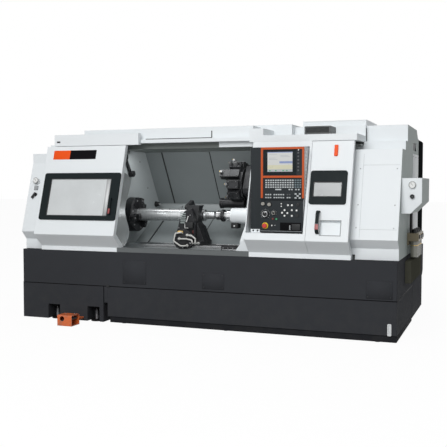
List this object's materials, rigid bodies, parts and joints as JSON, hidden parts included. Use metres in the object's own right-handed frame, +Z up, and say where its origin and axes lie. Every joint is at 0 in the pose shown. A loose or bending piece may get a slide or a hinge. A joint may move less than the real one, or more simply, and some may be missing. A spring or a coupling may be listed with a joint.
{
  "type": "cnc turning lathe",
  "caption": "Large slant-bed turning lathe: white leaning enclosure on a charcoal base, sliding doors, turret, tailstock, steady rest and recessed console.",
  "frame": {"origin": "on the floor, under the middle of the machine's bounding box", "axes": "+X along the spindle axis from headstock to tailstock, +Y from the operator's side to the back, +Z up"},
  "size_m": [4.202, 2.616, 2.085],
  "materials": {
    "white_paint": "satin powder coat, slightly cool white",
    "vent_paint": "dark grey",
    "charcoal_paint": "satin charcoal",
    "black_paint": "semi-matt black",
    "foot_steel": "blackened",
    "gauge_plastic": "clear faced",
    "machined_iron": "machined and oiled",
    "lining_steel": "grey stove enamel",
    "soffit_paint": "grey green",
    "console_paint": "fine textured charcoal",
    "orange_trim": "orange",
    "screen_glass": "lit display",
    "key_plastic": "moulded",
    "pedal_paint": "orange",
    "way_chrome": "ground",
    "frame_plastic": "dark",
    "window_glass": "laminated safety glass",
    "stainless": "bright rolled sheet",
    "spindle_steel": "ground",
    "work_steel": "turned",
    "dark_steel": "oil blackened",
    "dark_iron": "painted dark grey casting",
    "hose_white": "woven sleeve",
    "stop_red": "red",
    "knob_plastic": "black",
    "tread_rubber": "ribbed"
  },
  "bodies": {
    "machine": {"base_frame": "charcoal_paint", "base_skirt": "charcoal_paint", "coolant_tank": "charcoal_paint", "levelling_feet": "foot_steel", "sight_gauge": "gauge_plastic", "bed": "machined_iron", "left_enclosure": "white_paint", "splash_panels": "lining_steel", "chute": "lining_steel", "soffit": "soffit_paint", "header_covers": "white_paint", "roof_cover": "white_paint", "roof_vent": "vent_paint", "right_panel": "white_paint", "right_enclosure": "white_paint", "rear_enclosure": "white_paint", "electrical_cabinet": "black_paint", "console_box": "console_paint", "console_trim": "orange_trim", "screen": "screen_glass", "console_keys": "key_plastic", "gauge_box": "white_paint", "air_unit": "black_paint", "pressure_gauges": "gauge_plastic", "pedal_guard": "pedal_paint", "tail_way": "way_chrome"},
    "front_door": {"left_door": "white_paint", "left_window_frame": "frame_plastic", "left_window_glass": "window_glass", "door_wing": "stainless"},
    "trailing_door": {"inner_door": "white_paint"},
    "service_door": {"tail_door": "white_paint", "tail_window_frame": "frame_plastic", "tail_window_glass": "window_glass", "tail_handle": "frame_plastic", "alarm_lamp": "orange_trim"},
    "spindle_line": {"spindle": "spindle_steel", "chuck": "dark_steel", "workpiece": "work_steel"},
    "jaw_a": {"jaw_1": "dark_steel"},
    "jaw_b": {"jaw_2": "dark_steel"},
    "jaw_c": {"jaw_3": "dark_steel"},
    "tailstock": {"tailstock_body": "white_paint"},
    "tail_quill": {"quill": "way_chrome"},
    "centre": {"live_centre": "way_chrome"},
    "steady": {"steady_body": "dark_iron", "steady_hoses": "hose_white"},
    "upper_arm": {"steady_arm_upper": "dark_steel"},
    "lower_arm": {"steady_arm_lower": "dark_steel"},
    "carriage": {"saddle": "dark_iron"},
    "cross": {"cross_slide": "dark_iron"},
    "turret": {"turret_disc": "dark_steel", "tool_holders": "dark_steel", "cutting_tools": "spindle_steel"},
    "setter": {"tool_setter": "dark_steel"},
    "stop_button": {"estop_button": "stop_red"},
    "pulse_wheel": {"handwheel": "knob_plastic"},
    "override_dial": {"feed_dial": "knob_plastic"},
    "treadle": {"pedal_treadle": "tread_rubber"},
    "regulator_knob": {"gauge_knob": "knob_plastic"}
  },
  "joints": [
    {"name": "front_door_slide", "type": "slide", "parent": "machine", "child": "front_door", "axis": [1, 0, 0], "range_m": [0, 1.38]},
    {"name": "trailing_door_slide", "type": "slide", "parent": "machine", "child": "trailing_door", "axis": [1, 0, 0], "range_m": [0, 0.69]},
    {"name": "service_door_slide", "type": "slide", "parent": "machine", "child": "service_door", "axis": [1, 0, 0], "range_m": [0, 0.36]},
    {"name": "spindle_turn", "type": "hinge", "parent": "machine", "child": "spindle_line", "pos_m": [-1.083, -0.342, 1.108], "axis": [1, 0, 0], "continuous": true},
    {"name": "jaw_a_slide", "type": "slide", "parent": "spindle_line", "child": "jaw_a", "axis": [0, 0.2588, 0.9659], "range_m": [0, 0.008]},
    {"name": "jaw_b_slide", "type": "slide", "parent": "spindle_line", "child": "jaw_b", "axis": [0, -0.9659, -0.2588], "range_m": [0, 0.008]},
    {"name": "jaw_c_slide", "type": "slide", "parent": "spindle_line", "child": "jaw_c", "axis": [0, 0.7071, -0.7071], "range_m": [0, 0.008]},
    {"name": "tailstock_slide", "type": "slide", "parent": "machine", "child": "tailstock", "axis": [1, 0, 0], "range_m": [0, 0.55]},
    {"name": "quill_slide", "type": "slide", "parent": "tailstock", "child": "tail_quill", "axis": [1, 0, 0], "range_m": [0, 0.08]},
    {"name": "centre_turn", "type": "hinge", "parent": "tail_quill", "child": "centre", "pos_m": [-0.083, -0.342, 1.108], "axis": [1, 0, 0], "continuous": true},
    {"name": "steady_slide", "type": "slide", "parent": "machine", "child": "steady", "axis": [1, 0, 0], "range_m": [-0.3, 0.05]},
    {"name": "upper_arm_swing", "type": "hinge", "parent": "steady", "child": "upper_arm", "pos_m": [-0.363, -0.482, 1.196], "axis": [1, 0, 0], "range_deg": [0, 20]},
    {"name": "lower_arm_swing", "type": "hinge", "parent": "steady", "child": "lower_arm", "pos_m": [-0.363, -0.482, 1.02], "axis": [1, 0, 0], "range_deg": [-20, 0]},
    {"name": "carriage_slide", "type": "slide", "parent": "machine", "child": "carriage", "axis": [1, 0, 0], "range_m": [-0.09, 0.4]},
    {"name": "cross_feed", "type": "slide", "parent": "carriage", "child": "cross", "axis": [0, 0.5, 0.866], "range_m": [-0.06, 0.05]},
    {"name": "turret_index", "type": "hinge", "parent": "cross", "child": "turret", "pos_m": [0.117, -0.1495, 1.44142], "axis": [1, 0, 0], "continuous": true},
    {"name": "setter_swing", "type": "hinge", "parent": "machine", "child": "setter", "pos_m": [-1.093, -0.462, 1.735], "axis": [1, 0, 0], "range_deg": [-30, 45]},
    {"name": "stop_press", "type": "slide", "parent": "machine", "child": "stop_button", "axis": [0, 1, 0], "range_m": [0, 0.006], "stiffness_N_per_m": 1500, "springref_m": -0.004},
    {"name": "pulse_wheel_turn", "type": "hinge", "parent": "machine", "child": "pulse_wheel", "pos_m": [0.701, -1.078, 1.16], "axis": [0, 1, 0], "continuous": true},
    {"name": "override_turn", "type": "hinge", "parent": "machine", "child": "override_dial", "pos_m": [0.785, -1.078, 1.172], "axis": [0, 1, 0], "range_deg": [-135, 135]},
    {"name": "treadle_press", "type": "hinge", "parent": "machine", "child": "treadle", "pos_m": [-1.419, -1.233, 0.04], "axis": [0, 1, 0], "range_deg": [0, 12], "stiffness_Nm_per_rad": 40, "springref_deg": -6.88},
    {"name": "regulator_turn", "type": "hinge", "parent": "machine", "child": "regulator_knob", "pos_m": [2.015, -0.782, 1.328], "axis": [0, 1, 0], "range_deg": [-150, 150]}
  ],
  "couplings": [
    {"joint": "trailing_door_slide", "follows": "front_door_slide", "ratio": 0.5},
    {"joint": "jaw_b_slide", "follows": "jaw_a_slide", "ratio": 1},
    {"joint": "jaw_c_slide", "follows": "jaw_a_slide", "ratio": 1},
    {"joint": "centre_turn", "follows": "spindle_turn", "ratio": 1},
    {"joint": "lower_arm_swing", "follows": "upper_arm_swing", "ratio": -1}
  ]
}
